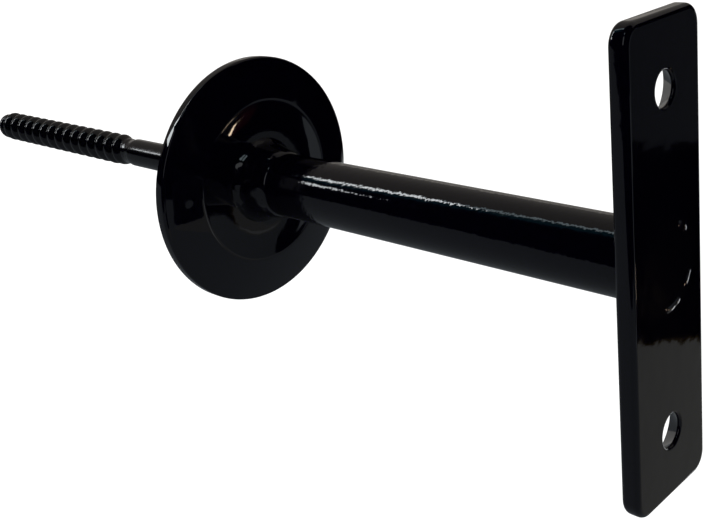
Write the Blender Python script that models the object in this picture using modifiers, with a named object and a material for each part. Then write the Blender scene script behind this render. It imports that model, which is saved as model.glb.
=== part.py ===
"""Shutter dog holdback: a post that stands off a wall on a hanger bolt, with a
pressed rosette at the wall and a drilled plate at its outer end.

Units are metres and +Z is up. The post's axis is the world's Y axis and the wall's
face is the plane y = 0. The hanger bolt runs to +Y, into the wall. The post runs to
-Y, out to the plate, whose long side is upright and whose front faces -Y.

Everything is drawn about a local Z axis that points out of the wall: a profile is a
list of (radius, height), and a height is a distance out from the wall. Two empties on
the post's axis turn that local Z to the world's -Y. The post and all that is welded
to it turn about the hanger bolt, so both empties lie on that joint's axis.
"""

from math import cos, radians, sin, tau

import bmesh
import bpy

MM = 0.001

# Driving dimensions.
TUBE_DIAMETER = 19.05 * MM
TUBE_WALL = 2.1 * MM
SHANK_DIAMETER = 9.525 * MM
ROSETTE_DIAMETER = 76.2 * MM
ROSETTE_THICKNESS = 3.2 * MM
PLATE_WIDTH = 31.75 * MM
PLATE_LENGTH = 114.3 * MM
PLATE_THICKNESS = 4.6 * MM
PLATE_BACK = 132.9 * MM
HOLE_DIAMETER = 8.2 * MM
COUNTERSINK_DIAMETER = 15.6 * MM
HOLE_SPACING = 81.0 * MM
BOLT_DEPTH = 155.7 * MM
MESH_GAP = 0.3 * MM

# The post, and what closes its two ends. Its outer end stops inside the plate's hole,
# where the front weld covers it.
TUBE_RADIUS = TUBE_DIAMETER / 2
TUBE_BORE = TUBE_RADIUS - TUBE_WALL
TUBE_START = 1.0 * MM
PLATE_FRONT = PLATE_BACK + PLATE_THICKNESS
WELD_GROOVE_DEPTH = 1.7 * MM
TUBE_END = PLATE_FRONT - WELD_GROOVE_DEPTH
BUSH_START = 1.5 * MM
BUSH_END = 26.5 * MM
PLUG_THICKNESS = 5.0 * MM

# The rosette's front: an outer slope up to a crest, and a shallow dish inside it.
ROSETTE_RADIUS = ROSETTE_DIAMETER / 2
RIM_FLAT = 3.0 * MM
RIM_ROUND = 0.8 * MM
CREST_RADIUS = 25.0 * MM
CREST_HEIGHT = 6.1 * MM
HUB_RADIUS = 13.0 * MM
HUB_HEIGHT = 5.1 * MM
POST_CLEARANCE = TUBE_RADIUS + MESH_GAP

# The mounting plate. Its two screw holes are countersunk at 90 degrees from the back.
CORNER_RADIUS = 5.0 * MM
EDGE_ROUND = 2.0 * MM
HOLE_EDGE = 0.6 * MM
WELD_GROOVE_WIDTH = 2.0 * MM
WELD_CROWN = 0.35 * MM
CROWN_RADIUS = 10.4 * MM
CROWN_WIDTH = 1.4 * MM

# The hanger bolt: its wood thread, its neck and the end inside the bush.
SHANK_RADIUS = SHANK_DIAMETER / 2
BOLT_END = 24.5 * MM
BOLT_CHAMFER = 1.0 * MM
THREAD_PITCH = 5.46 * MM
THREAD_CREST = 5.44 * MM
THREAD_DEPTH = 1.0 * MM
THREAD_ROOT = THREAD_CREST - THREAD_DEPTH
NECK_HEIGHT = -67.0 * MM
SHANK_HEIGHT = -63.5 * MM
RUNOUT = 5.0 * MM
TIP_LENGTH = 9.0 * MM

# Mesh fineness.
FINE_SIDES = 48
SMALL_SIDES = 32
BOLT_SIDES = 20
ROWS_PER_TURN = 6
DISH_STEPS = 4
MERGE = 0.00001


def clear_scene():
    for old in list(bpy.data.objects):
        bpy.data.objects.remove(old, do_unlink=True)


def new_collection(name):
    collection = bpy.data.collections.new(name)
    bpy.context.scene.collection.children.link(collection)
    return collection


def axis_empty(name, collection):
    """An empty on the post's axis whose local Z points out of the wall."""
    empty = bpy.data.objects.new(name, None)
    empty.rotation_euler = (radians(90), 0, 0)
    empty.empty_display_size = 20 * MM
    collection.objects.link(empty)
    return empty


def principled(name, colour, roughness, metallic):
    material = bpy.data.materials.new(name)
    material.use_nodes = True
    shader = material.node_tree.nodes["Principled BSDF"]
    shader.inputs["Base Color"].default_value = (*colour, 1)
    shader.inputs["Roughness"].default_value = roughness
    shader.inputs["Metallic"].default_value = metallic
    return material


def black_coat(name):
    return principled(name + "_coat", (0.012, 0.012, 0.014), 0.12, 0.0)


def bare_steel(name):
    return principled(name + "_steel", (0.42, 0.42, 0.44), 0.35, 1.0)


def add_object(name, mesh, parent, material, collection):
    piece = bpy.data.objects.new(name, mesh)
    collection.objects.link(piece)
    piece.parent = parent
    if material:
        mesh.materials.append(material)
    return piece


def turned(name, profile, sides, parent, material, collection):
    """A turned piece. A profile that starts and ends on the axis makes a solid, and
    any other profile closes on itself and makes a ring."""
    solid = profile[0][0] == 0 and profile[-1][0] == 0
    edges = [(i, i + 1) for i in range(len(profile) - 1)]
    if not solid:
        edges.append((len(profile) - 1, 0))
    mesh = bpy.data.meshes.new(name)
    mesh.from_pydata([(radius, 0, height) for radius, height in profile], edges, [])
    piece = add_object(name, mesh, parent, material, collection)
    screw = piece.modifiers.new("turn", "SCREW")
    screw.steps = sides
    screw.render_steps = sides
    screw.use_merge_vertices = True
    screw.merge_threshold = MERGE
    screw.use_smooth_shade = True
    return piece


def make_cutter(piece):
    piece.hide_render = True
    piece.display_type = "WIRE"
    return piece


def cut(piece, cutter):
    boolean = piece.modifiers.new("cut_" + cutter.name, "BOOLEAN")
    boolean.operation = "DIFFERENCE"
    boolean.solver = "EXACT"
    boolean.object = cutter


def dish_height(radius):
    """Height of the rosette's shallow inner dish, which rises to its crest."""
    share = (radius - HUB_RADIUS) / (CREST_RADIUS - HUB_RADIUS)
    return HUB_HEIGHT + (CREST_HEIGHT - HUB_HEIGHT) * max(share, 0) ** 2


def slope_height(radius):
    """Height of the rosette's slightly domed outer slope, from crest to rim."""
    share = (radius - CREST_RADIUS) / (ROSETTE_RADIUS - CREST_RADIUS)
    drop = CREST_HEIGHT - ROSETTE_THICKNESS
    return CREST_HEIGHT - drop * (0.8 * share + 0.2 * share**2)


def rosette_profile():
    """A closed loop: down the rim, in along the back, up the bore, out along the front."""
    dish_step = (CREST_RADIUS - HUB_RADIUS) / DISH_STEPS
    slope_middle = (CREST_RADIUS + ROSETTE_RADIUS - RIM_FLAT) / 2
    rim = [
        (ROSETTE_RADIUS - RIM_ROUND, slope_height(ROSETTE_RADIUS - RIM_ROUND)),
        (ROSETTE_RADIUS - 0.3 * RIM_ROUND, ROSETTE_THICKNESS - 0.3 * RIM_ROUND),
        (ROSETTE_RADIUS, ROSETTE_THICKNESS - RIM_ROUND),
        (ROSETTE_RADIUS, 0),
        (ROSETTE_RADIUS - RIM_FLAT, 0),
    ]
    back = [
        (slope_middle, slope_height(slope_middle) - ROSETTE_THICKNESS),
        (CREST_RADIUS, CREST_HEIGHT - ROSETTE_THICKNESS),
        (CREST_RADIUS - dish_step, dish_height(CREST_RADIUS - dish_step) - ROSETTE_THICKNESS),
        (HUB_RADIUS, HUB_HEIGHT - ROSETTE_THICKNESS),
    ]
    bore = [
        (POST_CLEARANCE, HUB_HEIGHT - ROSETTE_THICKNESS),
        (POST_CLEARANCE, HUB_HEIGHT),
    ]
    dish_radii = [HUB_RADIUS + dish_step * i for i in range(DISH_STEPS + 1)]
    dish = [(radius, dish_height(radius)) for radius in dish_radii]
    slope = [(slope_middle, slope_height(slope_middle))]
    return rim + back + bore + dish + slope


def rosette(parent, collection):
    coat = black_coat("rosette")
    turned("rosette", rosette_profile(), FINE_SIDES, parent, coat, collection)


def rosette_weld(parent, collection):
    seat = HUB_HEIGHT + MESH_GAP
    profile = [
        (POST_CLEARANCE, 15.6 * MM),
        (10.4 * MM, 14.6 * MM),
        (11.2 * MM, 12.2 * MM),
        (11.5 * MM, 9.4 * MM),
        (12.0 * MM, 6.9 * MM),
        (13.0 * MM, 5.6 * MM),
        (HUB_RADIUS, seat),
        (POST_CLEARANCE, seat),
    ]
    coat = black_coat("rosette_weld")
    turned("rosette_weld", profile, FINE_SIDES, parent, coat, collection)


def post_tube(parent, collection):
    profile = [
        (TUBE_BORE, TUBE_END),
        (TUBE_RADIUS, TUBE_END),
        (TUBE_RADIUS, TUBE_START),
        (TUBE_BORE, TUBE_START),
    ]
    turned("post_tube", profile, FINE_SIDES, parent, black_coat("post_tube"), collection)


def bolt_bush(parent, collection):
    outer = TUBE_BORE - MESH_GAP
    bore = SHANK_RADIUS + MESH_GAP
    mouth = bore + 0.6 * MM
    profile = [
        (bore, BUSH_END),
        (outer, BUSH_END),
        (outer, BUSH_START),
        (mouth, BUSH_START),
        (bore, BUSH_START + 0.6 * MM),
    ]
    turned("bolt_bush", profile, SMALL_SIDES, parent, bare_steel("bolt_bush"), collection)


def plate_end_plug(parent, collection):
    radius = TUBE_BORE - MESH_GAP
    back = TUBE_END - PLUG_THICKNESS
    profile = [(0, TUBE_END), (radius, TUBE_END), (radius, back), (0, back)]
    steel = bare_steel("plate_end_plug")
    turned("plate_end_plug", profile, SMALL_SIDES, parent, steel, collection)


def groove_radius(height):
    """Radius of the plate's centre hole, which opens to a weld groove at the front."""
    depth = PLATE_FRONT - height
    return POST_CLEARANCE + WELD_GROOVE_WIDTH * max(1 - depth / WELD_GROOVE_DEPTH, 0)


def rounded_bar(name, width, length, thickness, corner):
    """A flat bar about its own centre, with its four long corners rounded."""
    shape = bmesh.new()
    bmesh.ops.create_cube(shape, size=1)
    bmesh.ops.scale(shape, vec=(width, length, thickness), verts=shape.verts)
    upright = [e for e in shape.edges if abs(e.verts[0].co.z - e.verts[1].co.z) > MM]
    bmesh.ops.bevel(
        shape, geom=upright, offset=corner, segments=5, profile=0.5, affect="EDGES"
    )
    mesh = bpy.data.meshes.new(name)
    shape.to_mesh(mesh)
    shape.free()
    return mesh


def screw_hole_profile(high, low):
    """Outline of a screw hole's cutter, from past the plate's front to past its back."""
    throat = HOLE_DIAMETER / 2
    sink = COUNTERSINK_DIAMETER / 2
    return [
        (0, high),
        (throat + HOLE_EDGE + high - PLATE_FRONT, high),
        (throat, PLATE_FRONT - HOLE_EDGE),
        (throat, PLATE_BACK + sink - throat),
        (sink + PLATE_BACK - low, low),
        (0, low),
    ]


def mounting_plate(parent, collection, cutters):
    mesh = rounded_bar(
        "mounting_plate", PLATE_WIDTH, PLATE_LENGTH, PLATE_THICKNESS, CORNER_RADIUS
    )
    coat = black_coat("mounting_plate")
    plate = add_object("mounting_plate", mesh, parent, coat, collection)
    plate.location.z = PLATE_BACK + PLATE_THICKNESS / 2
    bevel = plate.modifiers.new("rounded_edges", "BEVEL")
    bevel.width = EDGE_ROUND
    bevel.segments = 3
    bevel.limit_method = "ANGLE"
    bevel.angle_limit = radians(60)

    low = PLATE_BACK - MM
    high = PLATE_FRONT + MM
    groove_foot = PLATE_FRONT - WELD_GROOVE_DEPTH
    centre = [(0, high), (groove_radius(high), high), (POST_CLEARANCE, groove_foot)]
    centre += [(POST_CLEARANCE, low), (0, low)]
    hole = screw_hole_profile(high, low)
    for name, profile, sides, offset in (
        ("post_hole", centre, FINE_SIDES, 0),
        ("upper_hole", hole, SMALL_SIDES, HOLE_SPACING / 2),
        ("lower_hole", hole, SMALL_SIDES, -HOLE_SPACING / 2),
    ):
        cutter = make_cutter(turned(name, profile, sides, parent, None, cutters))
        cutter.location.y = offset
        cut(plate, cutter)


def back_weld(parent, collection):
    seat = PLATE_BACK - MESH_GAP
    profile = [
        (POST_CLEARANCE, seat),
        (11.6 * MM, seat),
        (11.4 * MM, seat - 0.5 * MM),
        (10.6 * MM, seat - 1.3 * MM),
        (POST_CLEARANCE, seat - 2.0 * MM),
    ]
    turned("back_weld", profile, FINE_SIDES, parent, black_coat("back_weld"), collection)


def front_weld(parent, collection):
    """The plug weld over the post's end: ground flush, with a low crown round it."""
    foot = TUBE_END + MESH_GAP
    crown = PLATE_FRONT + WELD_CROWN
    toe = groove_radius(PLATE_FRONT) - 1.5 * MESH_GAP
    profile = [
        (0, PLATE_FRONT),
        (CROWN_RADIUS - CROWN_WIDTH, PLATE_FRONT),
        (CROWN_RADIUS, crown),
        (toe, PLATE_FRONT + MESH_GAP / 2),
        (groove_radius(foot) - 1.5 * MESH_GAP, foot),
        (0, foot),
    ]
    coat = black_coat("front_weld")
    turned("front_weld", profile, FINE_SIDES, parent, coat, collection)


def ramp(value, start, end):
    """0 at start, 1 at end, with a smooth change between them."""
    share = min(max((value - start) / (end - start), 0), 1)
    return share * share * (3 - 2 * share)


def bolt_core(height):
    """Radius of the bolt without its thread: blunt tip, root, neck, shank."""
    from_tip = height + BOLT_DEPTH
    if from_tip < TIP_LENGTH:
        share = from_tip / TIP_LENGTH
        return THREAD_ROOT * (1 - (1 - share) ** 3) ** 0.5
    if height < BOLT_END - BOLT_CHAMFER:
        swell = ramp(height, NECK_HEIGHT, SHANK_HEIGHT)
        return THREAD_ROOT + (SHANK_RADIUS - THREAD_ROOT) * swell
    return SHANK_RADIUS - (height - BOLT_END + BOLT_CHAMFER)


def bolt_radius(height, angle):
    """Radius of the bolt's surface, with a round-crested right-hand thread."""
    tip = -BOLT_DEPTH
    depth = THREAD_DEPTH * ramp(height, tip + 0.1 * TIP_LENGTH, tip + TIP_LENGTH)
    depth *= 1 - ramp(height, NECK_HEIGHT - RUNOUT, NECK_HEIGHT)
    wave = 0.5 + 0.5 * cos(tau * height / THREAD_PITCH - angle)
    return bolt_core(height) + depth * wave**0.8


def bolt_heights():
    """Rows of the bolt's surface, from just above the tip to the inner end."""
    tip_rows = [0.15 * MM, 0.6 * MM, 1.3 * MM]
    heights = [row - BOLT_DEPTH for row in tip_rows]
    step = THREAD_PITCH / ROWS_PER_TURN
    rows = int((SHANK_HEIGHT + BOLT_DEPTH) / step)
    heights += [i * step - BOLT_DEPTH for i in range(2, rows + 1)]
    return heights + [SHANK_HEIGHT, BOLT_END - BOLT_CHAMFER, BOLT_END]


def hanger_bolt(parent, collection):
    """One closed skin over the whole bolt: rings of points joined by quads, with a
    fan of triangles at the tip and at the inner end."""
    shape = bmesh.new()
    rings = []
    for height in bolt_heights():
        ring = []
        for i in range(BOLT_SIDES):
            angle = tau * i / BOLT_SIDES
            radius = bolt_radius(height, angle)
            point = (radius * cos(angle), radius * sin(angle), height)
            ring.append(shape.verts.new(point))
        rings.append(ring)
    tip = shape.verts.new((0, 0, -BOLT_DEPTH))
    end = shape.verts.new((0, 0, BOLT_END))
    for i in range(BOLT_SIDES):
        j = (i + 1) % BOLT_SIDES
        for low, high in zip(rings, rings[1:]):
            shape.faces.new((low[i], low[j], high[j], high[i]))
        shape.faces.new((tip, rings[0][j], rings[0][i]))
        shape.faces.new((end, rings[-1][i], rings[-1][j]))
    mesh = bpy.data.meshes.new("hanger_bolt")
    shape.to_mesh(mesh)
    shape.free()
    mesh.shade_smooth()
    add_object("hanger_bolt", mesh, parent, black_coat("hanger_bolt"), collection)


def build():
    clear_scene()
    parts = new_collection("shutter_dog_holdback")
    cutters = new_collection("cutters")
    bolt_axis = axis_empty("bolt_axis", parts)
    post_axis = axis_empty("post_axis", parts)

    hanger_bolt(bolt_axis, parts)
    rosette(post_axis, parts)
    rosette_weld(post_axis, parts)
    post_tube(post_axis, parts)
    bolt_bush(post_axis, parts)
    plate_end_plug(post_axis, parts)
    mounting_plate(post_axis, parts, cutters)
    back_weld(post_axis, parts)
    front_weld(post_axis, parts)


build()
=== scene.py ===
"""Looks of the shutter dog holdback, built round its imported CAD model.

Metres, +Z up, the same frame as the CAD: the post's axis is the Y axis, the wall's
face is y = 0, the hanger bolt runs to +Y and the post to -Y. A "height" below is a
distance out from the wall, which is -y, and turned pieces are drawn as profiles of
(radius, height).
"""

from math import atan2, cos, degrees, pi, radians, sin, tau

import bmesh
import bpy
from mathutils import Matrix, Vector, noise


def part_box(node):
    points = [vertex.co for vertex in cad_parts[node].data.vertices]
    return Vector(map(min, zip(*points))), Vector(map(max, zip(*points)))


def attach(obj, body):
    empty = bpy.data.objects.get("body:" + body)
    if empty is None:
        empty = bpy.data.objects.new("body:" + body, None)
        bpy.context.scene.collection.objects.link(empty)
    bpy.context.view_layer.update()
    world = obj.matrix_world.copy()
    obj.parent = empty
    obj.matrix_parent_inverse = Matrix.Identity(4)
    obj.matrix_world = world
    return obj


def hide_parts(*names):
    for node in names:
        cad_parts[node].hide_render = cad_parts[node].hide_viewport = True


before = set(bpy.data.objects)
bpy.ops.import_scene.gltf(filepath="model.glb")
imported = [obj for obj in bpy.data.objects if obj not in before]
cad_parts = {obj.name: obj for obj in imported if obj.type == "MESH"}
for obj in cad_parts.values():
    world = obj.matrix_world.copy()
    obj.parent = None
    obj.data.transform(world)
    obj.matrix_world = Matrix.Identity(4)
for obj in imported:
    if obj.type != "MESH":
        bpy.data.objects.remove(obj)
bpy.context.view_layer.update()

MM = 0.001


# --- Sizes, read from the CAD model -----------------------------------------------


def heights(node):
    """Lowest and highest height of a CAD node above the wall's face."""
    low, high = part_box(node)
    return -high.y, -low.y


def radius_of(node):
    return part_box(node)[1].x


TUBE_RADIUS = radius_of("post_tube")
TUBE_START, TUBE_END = heights("post_tube")
TUBE_BORE = radius_of("bolt_bush") + 0.3 * MM

ROSETTE_RADIUS = radius_of("rosette")
ROSETTE_TOP = heights("rosette")[1]
ROSETTE_THICKNESS = 3.2 * MM
CREST_RADIUS = 25 * MM
HUB_RADIUS = 13 * MM
HUB_HEIGHT = 5.1 * MM

PLATE_BACK, PLATE_FRONT = heights("mounting_plate")
PLATE_HALF_WIDTH = radius_of("mounting_plate")
PLATE_HALF_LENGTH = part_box("mounting_plate")[1].z
PLATE_CORNER = 5.0 * MM
PLATE_EDGE = 1.4 * MM
HOLE_RADIUS = 4.1 * MM
HOLE_HEIGHT = 40.5 * MM
HOLE_EDGE = 0.7 * MM
SINK_RADIUS = 7.8 * MM
GROOVE_RADIUS = 9.8 * MM

COLLAR_END = heights("rosette_weld")[1]
BACK_WELD_START = heights("back_weld")[0]
WELD_RADIUS = radius_of("front_weld")

BOLT_TIP, BOLT_END = heights("hanger_bolt")
TIP_SHORT = 0.8 * MM
TIP_LENGTH = 9 * MM
THREAD_CREST = radius_of("hanger_bolt")
SHANK_RADIUS = 4.7625 * MM
THREAD_PITCH = 5.46 * MM
THREAD_DEPTH = 1.25 * MM
NECK_HEIGHT = -64 * MM
SHANK_HEIGHT = -60.5 * MM
BOLT_CHAMFER = 1 * MM


# --- Mesh helpers -----------------------------------------------------------------


def finished(name, mesh, body, nodes, material):
    """Puts a mesh in the scene as a piece that stands for CAD nodes."""
    piece = bpy.data.objects.new(name, mesh)
    bpy.context.scene.collection.objects.link(piece)
    mesh.materials.append(material)
    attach(piece, body)
    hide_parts(*nodes)


def smooth_mesh(name, shape, sharp_angle=40):
    bmesh.ops.recalc_face_normals(shape, faces=shape.faces)
    mesh = bpy.data.meshes.new(name)
    shape.to_mesh(mesh)
    shape.free()
    mesh.shade_smooth()
    mesh.set_sharp_from_angle(angle=radians(sharp_angle))
    return mesh


def turned_mesh(name, profile, sides, lift=None):
    """Sweeps a profile about the Y axis. A profile that starts and ends on the axis
    makes a solid, and any other closes on itself. lift(radius, height, angle) gives
    how far a point is moved outwards from the axis."""
    solid = profile[0][0] == 0 and profile[-1][0] == 0
    rings = profile[1:-1] if solid else profile
    shape = bmesh.new()
    rows = []
    for radius, height in rings:
        row = []
        for i in range(sides):
            angle = tau * i / sides
            r = radius + (lift(radius, height, angle) if lift else 0)
            row.append(shape.verts.new((r * cos(angle), -height, r * sin(angle))))
        rows.append(row)
    pairs = list(zip(rows, rows[1:]))
    if not solid:
        pairs.append((rows[-1], rows[0]))
    for low, high in pairs:
        for i in range(sides):
            j = (i + 1) % sides
            shape.faces.new((low[i], low[j], high[j], high[i]))
    if solid:
        for row, (_, height) in ((rows[0], profile[0]), (rows[-1], profile[-1])):
            pole = shape.verts.new((0, -height, 0))
            for i in range(sides):
                shape.faces.new((pole, row[i], row[(i + 1) % sides]))
    return smooth_mesh(name, shape)


def blend_between(points, steps):
    """A smooth curve through a few (radius, height) points, as Catmull-Rom spans."""
    spans = [points[0], *points, points[-1]]
    curve = []
    for a, b, c, d in zip(spans, spans[1:], spans[2:], spans[3:]):
        for k in range(steps):
            t = k / steps
            curve.append(
                tuple(
                    0.5 * (2 * q + (r - p) * t + (2 * p - 5 * q + 4 * r - s) * t**2
                           + (3 * q - p - 3 * r + s) * t**3)
                    for p, q, r, s in zip(a, b, c, d)
                )
            )
    return curve + [points[-1]]


def arc(centre, radius, start, end, steps):
    """Points of an arc round a centre, from one angle in degrees to another."""
    angles = [radians(start + (end - start) * k / steps) for k in range(steps + 1)]
    return [(centre[0] + radius * cos(a), centre[1] + radius * sin(a)) for a in angles]


def ramp(value, start, end):
    """A smooth step: 0 up to start, 1 from end on."""
    share = min(max((value - start) / (end - start), 0), 1)
    return share * share * (3 - 2 * share)


# --- Materials --------------------------------------------------------------------


def new_material(name):
    material = bpy.data.materials.new(name)
    material.use_nodes = True
    tree = material.node_tree
    return material, tree, tree.nodes["Principled BSDF"]


def noise_node(tree, scale, detail, roughness=0.5):
    """Noise in the object's own space; the scale is in waves per metre."""
    place = tree.nodes.new("ShaderNodeTexCoord")
    texture = tree.nodes.new("ShaderNodeTexNoise")
    texture.inputs["Scale"].default_value = scale
    texture.inputs["Detail"].default_value = detail
    texture.inputs["Roughness"].default_value = roughness
    tree.links.new(place.outputs["Object"], texture.inputs["Vector"])
    return texture.outputs["Fac"]


def between(tree, factor, low, high):
    """Spreads the middle of a 0 to 1 factor over low to high, numbers or colours."""
    steps = tree.nodes.new("ShaderNodeValToRGB")
    for element, value in zip(steps.color_ramp.elements, (low, high)):
        colour = value if isinstance(value, tuple) else (value,) * 3
        element.color = (*colour, 1)
    steps.color_ramp.elements[0].position = 0.3
    steps.color_ramp.elements[1].position = 0.7
    tree.links.new(factor, steps.inputs["Fac"])
    return steps.outputs["Color"]


def bump(tree, height, depth, below=None):
    node = tree.nodes.new("ShaderNodeBump")
    node.inputs["Strength"].default_value = 1
    node.inputs["Distance"].default_value = depth
    tree.links.new(height, node.inputs["Height"])
    if below:
        tree.links.new(below, node.inputs["Normal"])
    return node.outputs["Normal"]


def powder_coat(name, grain, peel, roughness):
    """Gloss black powder coat: orange peel a few millimetres across, finer grain on
    top of it, and faint changes of tone and roughness."""
    material, tree, shader = new_material(name)
    tone = between(tree, noise_node(tree, 900, 3), (0.0002, 0.0001, 0.0009), (0.0004, 0.0003, 0.0014))
    tree.links.new(tone, shader.inputs["Base Color"])
    rough = between(tree, noise_node(tree, 260, 2), roughness, roughness + 0.03)
    tree.links.new(rough, shader.inputs["Roughness"])
    wide = bump(tree, noise_node(tree, 170, 1), peel)
    fine = bump(tree, noise_node(tree, 640, 2), grain, wide)
    tree.links.new(fine, shader.inputs["Normal"])
    return material


def bare_steel(name):
    """Turned mild steel: fine rings about the post's axis and a dull, uneven shine."""
    material, tree, shader = new_material(name)
    tone = between(tree, noise_node(tree, 700, 4), (0.33, 0.33, 0.34), (0.46, 0.46, 0.47))
    tree.links.new(tone, shader.inputs["Base Color"])
    rough = between(tree, noise_node(tree, 400, 3), 0.28, 0.42)
    tree.links.new(rough, shader.inputs["Roughness"])
    rings = tree.nodes.new("ShaderNodeTexWave")
    rings.wave_type = "RINGS"
    rings.rings_direction = "Y"
    rings.inputs["Scale"].default_value = 900
    place = tree.nodes.new("ShaderNodeTexCoord")
    tree.links.new(place.outputs["Object"], rings.inputs["Vector"])
    tree.links.new(bump(tree, rings.outputs["Fac"], 0.004 * MM), shader.inputs["Normal"])
    shader.inputs["Metallic"].default_value = 1.0
    return material


# --- Pieces -----------------------------------------------------------------------


def rosette_front(radius):
    """Height of the rosette's front: a shallow dish inside a soft crest, and a
    slightly domed slope outside it."""
    inner = (radius - HUB_RADIUS) / (CREST_RADIUS - HUB_RADIUS)
    dish = HUB_HEIGHT + (ROSETTE_TOP - HUB_HEIGHT) * max(inner, 0) ** 2
    outer = (radius - CREST_RADIUS) / (ROSETTE_RADIUS - CREST_RADIUS)
    slope = ROSETTE_TOP - (ROSETTE_TOP - ROSETTE_THICKNESS) * (0.8 * outer + 0.2 * outer**2)
    soft = 0.2 * MM
    apart = max(soft - abs(dish - slope), 0) / soft
    return min(dish, slope) - apart**2 * soft / 4


def rosette():
    rim_round = 0.8 * MM
    edge = ROSETTE_RADIUS - rim_round
    front_steps = 90
    bore = TUBE_RADIUS + 0.05 * MM
    front = [bore + (edge - bore) * k / front_steps for k in range(front_steps + 1)]
    top = [(r, rosette_front(r)) for r in front]
    rim = arc((edge, top[-1][1] - rim_round), rim_round, 80, 0, 8)
    back_round = 0.3 * MM
    foot = arc((ROSETTE_RADIUS - back_round, back_round), back_round, 0, -90, 4)
    flat_edge = ROSETTE_RADIUS - 3 * MM
    back_radii = [flat_edge + (bore - flat_edge) * k / 40 for k in range(41)]
    under = [(r, max(rosette_front(r) - ROSETTE_THICKNESS, 0)) for r in back_radii]
    profile = top + rim + foot + under
    mesh = turned_mesh("rosette_dish", profile, 192)
    finished("rosette_dish", mesh, "post", ["rosette"], ROSETTE_COAT)


def weld_lumps(size, depth, seed):
    """How a run of weld stands out: ripples across the bead and uneven lumps."""

    def lift(radius, height, angle):
        place = Vector((radius * cos(angle), height, radius * sin(angle))) / size
        lump = noise.noise(place + Vector((seed, 0, 0)))
        ripple = 0.15 * sin(22 * angle + 3 * noise.noise(place * 0.5))
        return depth * (lump + ripple)

    return lift


def rosette_weld():
    """The weld collar: uneven beads that swell from the post and spread on the dish."""
    seat = HUB_HEIGHT - 0.2 * MM
    inner = TUBE_RADIUS - 0.3 * MM
    outline = [
        (inner, COLLAR_END + 0.3 * MM),
        (TUBE_RADIUS + 0.3 * MM, COLLAR_END - 0.4 * MM),
        (10.5 * MM, 13.2 * MM),
        (11.0 * MM, 10.8 * MM),
        (11.5 * MM, 8.6 * MM),
        (12.1 * MM, 7.0 * MM),
        (12.8 * MM, 5.8 * MM),
        (HUB_RADIUS + 0.3 * MM, seat),
    ]
    lumps = weld_lumps(4.5 * MM, 0.3 * MM, 4.0)

    def lift(radius, height, angle):
        free = ramp(height, seat, seat + 1.5 * MM) * ramp(-height, -COLLAR_END, 2 * MM - COLLAR_END)
        return lumps(radius, height, angle) * free if radius > TUBE_RADIUS else 0

    profile = blend_between(outline, 8) + [(inner, seat)]
    mesh = turned_mesh("rosette_weld_bead", profile, 160, lift)
    finished("rosette_weld_bead", mesh, "post", ["rosette_weld"], WELD_COAT)


def post():
    chamfer = 0.4 * MM
    profile = [
        (TUBE_BORE, TUBE_END),
        (TUBE_RADIUS - chamfer, TUBE_END),
        (TUBE_RADIUS, TUBE_END - chamfer),
    ]
    rows = 120
    for k in range(rows + 1):
        height = TUBE_END - 2 * chamfer + (TUBE_START - TUBE_END + 4 * chamfer) * k / rows
        profile.append((TUBE_RADIUS, height))
    profile += [
        (TUBE_RADIUS, TUBE_START + chamfer),
        (TUBE_RADIUS - chamfer, TUBE_START),
        (TUBE_BORE, TUBE_START),
    ]
    mesh = turned_mesh("post_barrel", profile, 128)
    finished("post_barrel", mesh, "post", ["post_tube"], COAT)


def rounded_rectangle(half_width, half_length, corner, steps):
    points = []
    for quarter, (sx, sy) in enumerate(((1, 1), (-1, 1), (-1, -1), (1, -1))):
        centre = (sx * (half_width - corner), sy * (half_length - corner))
        points += arc(centre, corner, 90 * quarter, 90 * quarter + 90, steps)
    return points


def circle(radius, steps, centre_height=0):
    return arc((0, centre_height), radius, 0, 360 * (steps - 1) / steps, steps - 1)


def flat_outline(name, loops):
    """A flat filled mesh, in X and Y, from an outline and the holes in it."""
    curve = bpy.data.curves.new(name, "CURVE")
    curve.dimensions = "2D"
    curve.fill_mode = "BOTH"
    for loop in loops:
        spline = curve.splines.new("POLY")
        spline.points.add(len(loop) - 1)
        for point, (x, y) in zip(spline.points, loop):
            point.co = (x, y, 0, 1)
        spline.use_cyclic_u = True
    holder = bpy.data.objects.new(name, curve)
    bpy.context.scene.collection.objects.link(holder)
    mesh = bpy.data.meshes.new_from_object(
        holder.evaluated_get(bpy.context.evaluated_depsgraph_get())
    )
    bpy.data.objects.remove(holder)
    bpy.data.curves.remove(curve)
    return mesh


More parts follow.
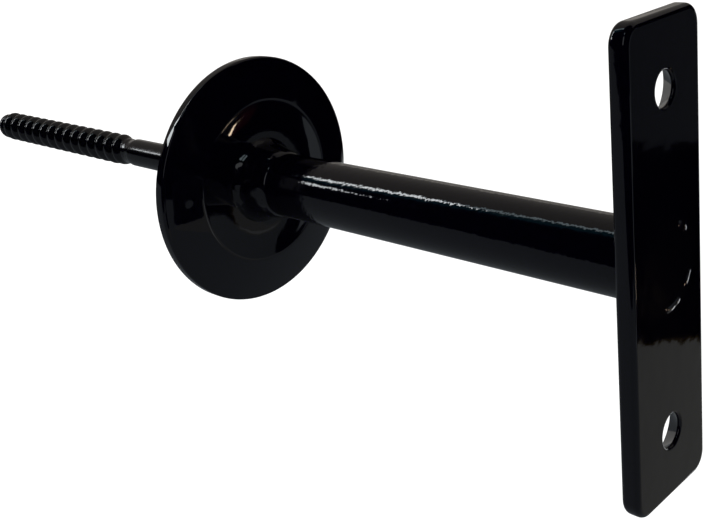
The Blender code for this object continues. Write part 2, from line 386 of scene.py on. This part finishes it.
def plate():
    """The flat bar: edges well rounded, screw holes countersunk from the back."""
    def outline(inset):
        corner = PLATE_CORNER - inset
        width, length = PLATE_HALF_WIDTH - inset, PLATE_HALF_LENGTH - inset
        return rounded_rectangle(width, length, corner, 12)

    def hole(radius, centre):
        return circle(radius, 64, centre)

    # How far a rounded edge has come in, and gone down from the face, at each step.
    steps = [radians(90) * k / 8 for k in range(9)]
    rounding = [(1 - sin(a), 1 - cos(a)) for a in steps]
    sides = [(PLATE_EDGE * i, PLATE_FRONT - PLATE_EDGE * d) for i, d in rounding]
    sides += [(PLATE_EDGE * i, PLATE_BACK + PLATE_EDGE * d) for i, d in rounding[::-1]]
    throat = PLATE_BACK + SINK_RADIUS - HOLE_RADIUS
    wall = [(HOLE_RADIUS + HOLE_EDGE * i, PLATE_FRONT - HOLE_EDGE * d) for i, d in rounding]
    wall += [(HOLE_RADIUS, throat), (SINK_RADIUS, PLATE_BACK)]
    shape = bmesh.new()
    # The front face and the back face, each with its holes.
    for radius, height in (wall[0], wall[-1]):
        loops = [outline(PLATE_EDGE), circle(GROOVE_RADIUS, 96)]
        loops += [hole(radius, HOLE_HEIGHT), hole(radius, -HOLE_HEIGHT)]
        sheet = flat_outline("plate_outline", loops)
        for vert in sheet.vertices:
            vert.co = (vert.co.x, -height, vert.co.y)
        shape.from_mesh(sheet)
        bpy.data.meshes.remove(sheet)

    def skin(rings):
        """Joins each ring of points to the next one with faces."""
        rows = [[shape.verts.new((x, -h, z)) for x, z in loop] for loop, h in rings]
        for high, low in zip(rows, rows[1:]):
            for i in range(len(high)):
                j = (i + 1) % len(high)
                shape.faces.new((high[i], high[j], low[j], low[i]))

    skin([(outline(inset), height) for inset, height in sides])
    skin([(circle(GROOVE_RADIUS, 96), height) for height in (PLATE_FRONT, PLATE_BACK)])
    for centre in (HOLE_HEIGHT, -HOLE_HEIGHT):
        skin([(hole(radius, centre), height) for radius, height in wall])
    bmesh.ops.remove_doubles(shape, verts=shape.verts, dist=0.001 * MM)
    mesh = smooth_mesh("plate_bar", shape, 35)
    # The two faces are dead flat right up to where their edges begin to round.
    normals = [corner.vector.copy() for corner in mesh.corner_normals]
    for polygon in mesh.polygons:
        for loop in polygon.loop_indices:
            height = -mesh.vertices[mesh.loops[loop].vertex_index].co.y
            on_face = min(PLATE_FRONT - height, height - PLATE_BACK) < 0.001 * MM
            if on_face and abs(polygon.normal.y) > 0.9:
                normals[loop] = Vector((0, 1 if polygon.normal.y > 0 else -1, 0))
    mesh.normals_split_custom_set(normals)
    finished("plate_bar", mesh, "post", ["mounting_plate"], PLATE_COAT)


def back_weld():
    """The small fillet round the post, behind the plate."""
    inner = TUBE_RADIUS - 0.3 * MM
    seat = PLATE_BACK + 0.2 * MM
    outline = [
        (inner, seat),
        (11.7 * MM, seat),
        (11.5 * MM, PLATE_BACK - 0.15 * MM),
        (10.8 * MM, PLATE_BACK - 0.9 * MM),
        (10.0 * MM, PLATE_BACK - 1.8 * MM),
        (TUBE_RADIUS + 0.02 * MM, BACK_WELD_START),
        (inner, BACK_WELD_START - 0.1 * MM),
    ]
    lumps = weld_lumps(2.0 * MM, 0.16 * MM, 9.0)

    def lift(radius, height, angle):
        return lumps(radius, height, angle) if radius > TUBE_RADIUS + 0.1 * MM else 0

    profile = [outline[0]] + blend_between(outline[1:], 5)
    mesh = turned_mesh("back_weld_bead", profile, 144, lift)
    finished("back_weld_bead", mesh, "post", ["back_weld"], WELD_COAT)


def front_weld():
    """The plug weld that closes the post's end: ground flush, with what is left of its
    toe standing up in three short ridges."""
    toe = WELD_RADIUS
    foot = PLATE_FRONT - 1.4 * MM
    steps = 72
    front = [(toe * k / steps, PLATE_FRONT + 0.02 * MM) for k in range(steps + 1)]
    profile = front + [(toe, PLATE_FRONT - 0.05 * MM), (TUBE_RADIUS, foot), (0, foot)]
    mesh = turned_mesh("front_weld_cap", profile, 240)
    ridge_radius = 10.1 * MM
    ridge_half_width = 0.9 * MM
    ridge_height = 0.16 * MM
    # Where each ridge lies round the axis, how far it spreads, both in degrees, and
    # its share of the full height.
    ridges = ((50, 14, 1.0), (-33, 14, 0.7), (-81, 22, 0.9))
    for vert in mesh.vertices:
        x, z = vert.co.x, vert.co.z
        if -vert.co.y > PLATE_FRONT and x * x + z * z < (toe - 0.1 * MM) ** 2:
            radius = Vector((x, z)).length
            angle = degrees(atan2(z, x))
            across = max(1 - abs(radius - ridge_radius) / ridge_half_width, 0)
            lift = 0
            for centre, spread, share in ridges:
                along = max(1 - abs(angle - centre) / spread, 0)
                lift += share * ramp(across, 0, 1) * ramp(along, 0, 0.5)
            uneven = 1 + 0.5 * noise.noise(Vector((x, 0, z)) / (1.2 * MM))
            vert.co.y -= ridge_height * lift * uneven
    finished("front_weld_cap", mesh, "post", ["front_weld"], WELD_COAT)


def bolt_core(height):
    """Radius of the bolt without its thread: blunt tip, root, neck, shank."""
    root = THREAD_CREST - THREAD_DEPTH
    from_tip = height - BOLT_TIP - TIP_SHORT
    if from_tip < TIP_LENGTH:
        return root * (1 - (1 - from_tip / TIP_LENGTH) ** 3) ** 0.5
    if height > BOLT_END - BOLT_CHAMFER:
        return SHANK_RADIUS - (height - BOLT_END + BOLT_CHAMFER)
    return root + (SHANK_RADIUS - root) * ramp(height, NECK_HEIGHT, SHANK_HEIGHT)


def thread_lift(radius, height, angle):
    """The thread stands proud of the core and fades out at the tip and at the neck."""
    fade = 5 * MM
    depth = THREAD_DEPTH * ramp(height, BOLT_TIP + 0.9 * MM, BOLT_TIP + TIP_LENGTH)
    depth *= 1 - ramp(height, NECK_HEIGHT - fade, NECK_HEIGHT)
    if depth == 0:
        return 0
    wave = 0.5 + 0.5 * cos(tau * height / THREAD_PITCH - angle)
    return depth * wave**0.6


def bolt():
    """The hanger bolt: wood thread with a blunt tip, neck, shank and inner end."""
    rows_per_turn = 26
    step = THREAD_PITCH / rows_per_turn
    tip = BOLT_TIP + TIP_SHORT
    tip_rows = 3
    levels = [tip + 0.35 * MM * (k / tip_rows) ** 2 for k in range(1, tip_rows + 1)]
    count = int((SHANK_HEIGHT - levels[-1]) / step)
    levels += [levels[-1] + step * k for k in range(1, count + 1)]
    plain = BOLT_END - BOLT_CHAMFER - SHANK_HEIGHT
    levels += [SHANK_HEIGHT + plain * k / 40 for k in range(1, 41)]
    levels.append(BOLT_END)
    profile = [(0, tip)] + [(bolt_core(h), h) for h in levels] + [(0, BOLT_END)]
    mesh = turned_mesh("bolt_threaded", profile, 96, thread_lift)
    finished("bolt_threaded", mesh, "wall_bolt", ["hanger_bolt"], THREAD_COAT)


# --- Stage, lights and camera -----------------------------------------------------


def floor():
    """A plain pale floor. The gloss coat doesn't mirror it: its reflections come from
    the studio's panels."""
    bpy.ops.mesh.primitive_plane_add(size=30, location=(0, 0, -0.3))
    plane = bpy.context.object
    plane.name = "studio_floor"
    material, _, shader = new_material("pale_floor")
    shader.inputs["Base Color"].default_value = (0.9, 0.9, 0.9, 1)
    shader.inputs["Roughness"].default_value = 1.0
    shader.inputs["Specular IOR Level"].default_value = 0.0
    plane.data.materials.append(material)
    plane.visible_glossy = False
    plane.visible_shadow = False


def pale_world():
    """Pale surroundings that light the object but don't show in its gloss."""
    world = bpy.data.worlds.new("pale_room")
    world.use_nodes = True
    background = world.node_tree.nodes["Background"]
    background.inputs["Color"].default_value = (1, 1, 1, 1)
    background.inputs["Strength"].default_value = 1.1
    world.cycles_visibility.glossy = False
    bpy.context.scene.world = world


def panel(name, centre, towards, width, length, radiance, colour, along=(0, 1, 0)):
    """A soft light panel. Its power grows with its area, so that the radiance alone
    sets how bright it looks. Its length lies along the given direction."""
    data = bpy.data.lights.new(name, "AREA")
    data.shape = "RECTANGLE"
    data.size = width
    data.size_y = length
    data.energy = radiance * pi * width * length
    data.color = colour
    lamp = bpy.data.objects.new(name, data)
    bpy.context.scene.collection.objects.link(lamp)
    back = (Vector(centre) - Vector(towards)).normalized()
    side = Vector(along).cross(back).normalized()
    up = back.cross(side)
    turn = Matrix((side, up, back)).transposed().to_4x4()
    lamp.matrix_world = Matrix.Translation(centre) @ turn
    lamp.visible_camera = False


def lights():
    """The studio's panels, which are all that the gloss coat mirrors."""
    cool, warm, white = (0.84, 0.93, 1), (1, 0.94, 0.87), (0.93, 0.97, 1)
    teal, pale_blue = (0.15, 0.75, 1), (0.75, 0.93, 1)
    amber, red = (1, 0.78, 0.55), (1, 0.12, 0.16)
    upright = Vector((0, 0, 1))
    out = Vector((0.737, -0.676, 0))
    run = Vector((0.676, 0.737, 0))
    # A grey bench top below, whose edge runs past on the right.
    bench = out * (0.195 - 3) + run * (4 - 0.25) + Vector((0, 0, -0.07))
    panel("bench_panel", bench, bench + upright, 6, 8, 0.165, cool, run)
    # A long strip overhead, bright at its far end, between teal and warm panels.
    strip = Vector((-0.51, 0.86, 0))
    beside = Vector((0.86, 0.51, 0))
    start = Vector((-0.08, 0.42, 1))

    def overhead(name, low, high, width, shift, radiance, colour):
        centre = start + strip * (low + high) / 2 + beside * (shift + width / 2)
        panel(name, centre, centre - upright, width, high - low, radiance, colour, strip)

    overhead("strip_near", -0.15, 0.28, 0.08, -0.04, 1.9, pale_blue)
    overhead("strip_far", 0.28, 1.15, 0.08, -0.04, 12.0, white)
    overhead("strip_end", 1.15, 1.9, 0.42, -0.42, 10.0, white)
    overhead("teal_panel", 0, 1.1, 0.14, -0.2, 0.12, teal)
    overhead("ceiling_panel", -2.5, 4, 5, 0.05, 0.22, warm)
    # A warm wall far behind the object, and windows on the left.
    panel("back_wall", (2.9, 2.7, 0.1), (0, 0, 0.1), 5, 2.2, 0.3, warm, upright)
    panel("window", (-1.6, -0.75, 0.9), (0, 0, 0), 0.5, 1.3, 0.8, white, upright)
    panel("skylight", (-0.87, -0.45, 1.63), (0, 0, 0), 0.25, 0.25, 2.0, pale_blue)
    # Paper on the bench below the plate, up to the bench's edge.
    paper = out * 0.145 - run * 0.075 + Vector((0, 0, -0.069))
    panel("paper", paper, paper + upright, 0.1, 0.1, 0.041, (1, 0.65, 0.1), run)
    # On the right in front: dim screens, a small warm lamp, its glow and a bright wall.
    panel("plate_screen", (0.31, -0.3, -0.035), (0, -0.14, -0.035), 0.12, 0.08, 0.04, cool, upright)
    panel("dish_screen", (1.45, -1.38, -0.31), (0, 0, 0), 0.6, 0.56, 0.145, cool, upright)
    panel("crest_glow", (0.47, -0.84, -0.3), (0, 0, 0), 0.14, 0.26, 0.4, cool, upright)
    panel("lamp", (0.688, -0.606, -0.366), (0, 0, 0), 0.014, 0.03, 16.0, amber, upright)
    panel("lamp_glow", (0.66, -0.62, -0.37), (0, 0, 0), 0.06, 0.06, 0.05, red, upright)
    panel("side_wall", (1.39, -0.27, -0.56), (0, -0.14, 0), 0.22, 1.1, 2.0, white, upright)


def camera():
    """The photo's viewpoint. The shift moves the picture's centre off the lens's axis."""
    data = bpy.data.cameras.new("photo_camera")
    data.sensor_width = 36
    data.lens = 55
    data.shift_x = 0.105
    data.shift_y = -0.204
    view = bpy.data.objects.new("photo_camera", data)
    bpy.context.scene.collection.objects.link(view)
    view.location = (-0.2101, -0.2468, 0.0982)
    view.rotation_euler = (radians(76.154), radians(5.987), radians(-43.674))
    bpy.context.scene.camera = view


COAT = powder_coat("black_powder_coat", 0.05 * MM, 0.03 * MM, 0.03)
PLATE_COAT = powder_coat("black_coat_on_plate", 0.012 * MM, 0.07 * MM, 0.04)
ROSETTE_COAT = powder_coat("black_coat_on_rosette", 0.003 * MM, 0.012 * MM, 0.02)
WELD_COAT = powder_coat("black_coat_on_weld", 0.010 * MM, 0.05 * MM, 0.06)
THREAD_COAT = powder_coat("black_coat_on_thread", 0.012 * MM, 0.03 * MM, 0.12)
STEEL = bare_steel("turned_steel")

camera()
rosette()
rosette_weld()
post()
plate()
back_weld()
front_weld()
bolt()
for inner_node in ("bolt_bush", "plate_end_plug"):
    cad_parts[inner_node].data.materials.clear()
    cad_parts[inner_node].data.materials.append(STEEL)

floor()
pale_world()
lights()
bpy.context.scene.view_settings.view_transform = "Standard"
